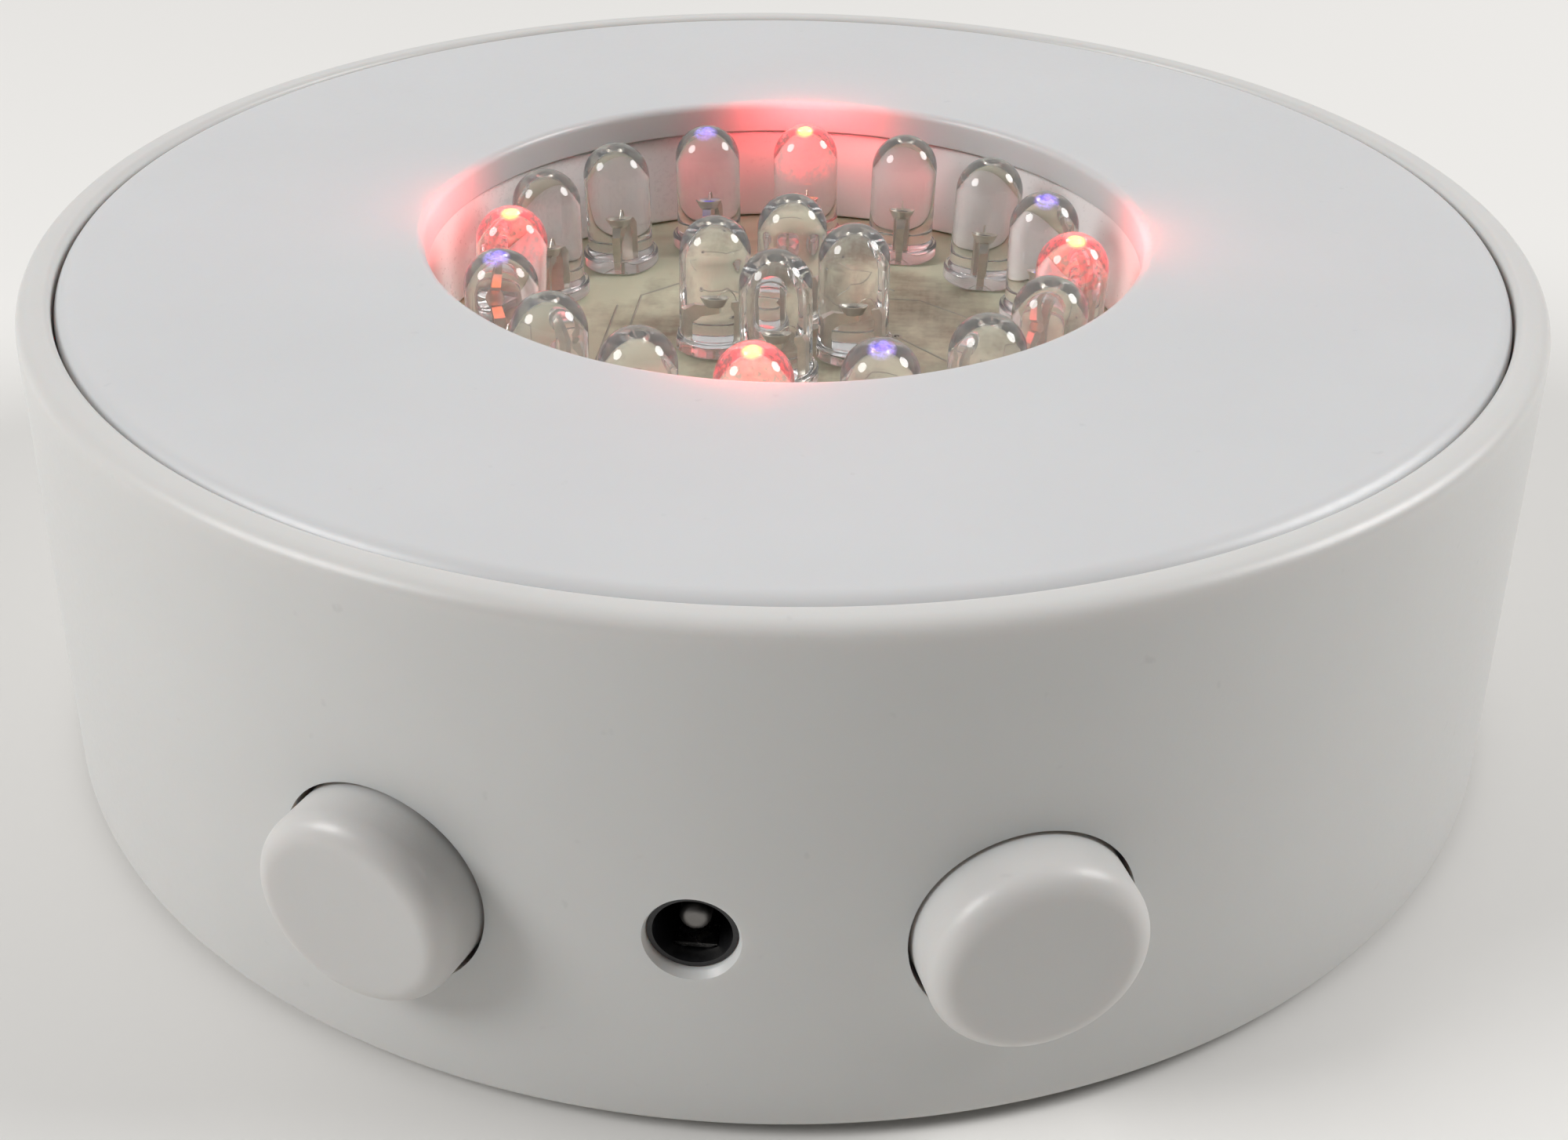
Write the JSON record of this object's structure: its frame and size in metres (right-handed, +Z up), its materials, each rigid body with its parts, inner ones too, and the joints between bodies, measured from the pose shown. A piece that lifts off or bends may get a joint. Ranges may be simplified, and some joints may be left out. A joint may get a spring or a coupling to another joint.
{
  "type": "led light base",
  "caption": "Round white LED light base: shallow drum with a ring-shaped top around a well of 5 mm LEDs, two push-buttons and a DC socket in front, battery bay below.",
  "frame": {"origin": "centre of the circle that the base stands on, at the underside of the feet", "axes": "+Z up through the middle of the light well; the DC socket faces -Y, +X to the right seen from the front"},
  "size_m": [0.1036, 0.1046, 0.0329],
  "materials": {
    "shell_plastic": "satin moulded ABS",
    "plate_plastic": "satin moulded ABS",
    "well_plastic": "satin white",
    "button_plastic": "satin moulded ABS",
    "led_red_lit": "clear epoxy, red die lit",
    "led_blue": "clear epoxy, faint blue glow",
    "led_clear": "clear epoxy",
    "tinned_metal": "tin-plated",
    "circuit_board": "pale solder mask",
    "black_plastic": "moulded",
    "nickel_plate": "nickel-plated",
    "screw_steel": "zinc-plated",
    "battery_cell": "printed sleeve",
    "rubber": "matt",
    "red_insulation": "PVC",
    "black_insulation": "PVC",
    "white_insulation": "PVC"
  },
  "bodies": {
    "base": {"aa_cell_1": "battery_cell", "aa_cell_2": "battery_cell", "aa_cell_3": "battery_cell", "base_cover": "shell_plastic", "base_screws": "screw_steel", "battery_bridge_left": "nickel_plate", "battery_bridge_right": "nickel_plate", "battery_lead_black": "black_insulation", "battery_lead_red": "red_insulation", "battery_plate_negative": "nickel_plate", "battery_plate_positive": "nickel_plate", "battery_springs": "nickel_plate", "board_capacitor": "black_plastic", "board_resistors": "black_plastic", "centre_led_1": "led_clear", "centre_led_2": "led_clear", "centre_led_3": "led_clear", "centre_led_4": "led_clear", "control_board": "circuit_board", "control_board_screws": "screw_steel", "controller_chip": "black_plastic", "dc_socket_blade": "nickel_plate", "dc_socket_body": "black_plastic", "dc_socket_pin": "nickel_plate", "housing_shell": "shell_plastic", "led_board": "circuit_board", "led_board_screws": "screw_steel", "led_lead_frames": "tinned_metal", "led_leads": "white_insulation", "light_well_ring": "well_plastic", "mode_switch_body": "black_plastic", "power_switch_body": "black_plastic", "ring_led_01": "led_red_lit", "ring_led_02": "led_blue", "ring_led_03": "led_clear", "ring_led_04": "led_clear", "ring_led_05": "led_red_lit", "ring_led_06": "led_blue", "ring_led_07": "led_clear", "ring_led_08": "led_clear", "ring_led_09": "led_red_lit", "ring_led_10": "led_blue", "ring_led_11": "led_clear", "ring_led_12": "led_clear", "ring_led_13": "led_red_lit", "ring_led_14": "led_blue", "ring_led_15": "led_clear", "ring_led_16": "led_clear", "rubber_foot_1": "rubber", "rubber_foot_2": "rubber", "rubber_foot_3": "rubber", "rubber_foot_4": "rubber", "top_plate": "plate_plastic"},
    "power_button": {"power_button": "button_plastic", "power_switch_plunger": "black_plastic"},
    "mode_button": {"mode_button": "button_plastic", "mode_switch_plunger": "black_plastic"},
    "battery_door": {"battery_door": "shell_plastic"}
  },
  "joints": [
    {"name": "power_button_press", "type": "slide", "parent": "base", "child": "power_button", "axis": [0.3371, 0.9415, 0], "range_m": [0, 0.0004], "stiffness_N_per_m": 2500},
    {"name": "mode_button_press", "type": "slide", "parent": "base", "child": "mode_button", "axis": [-0.3371, 0.9415, 0], "range_m": [0, 0.0004], "stiffness_N_per_m": 2500},
    {"name": "battery_door_swing", "type": "hinge", "parent": "base", "child": "battery_door", "pos_m": [0, -0.0171, 0.0023], "axis": [-1, 0, 0], "range_deg": [0, 40]}
  ]
}
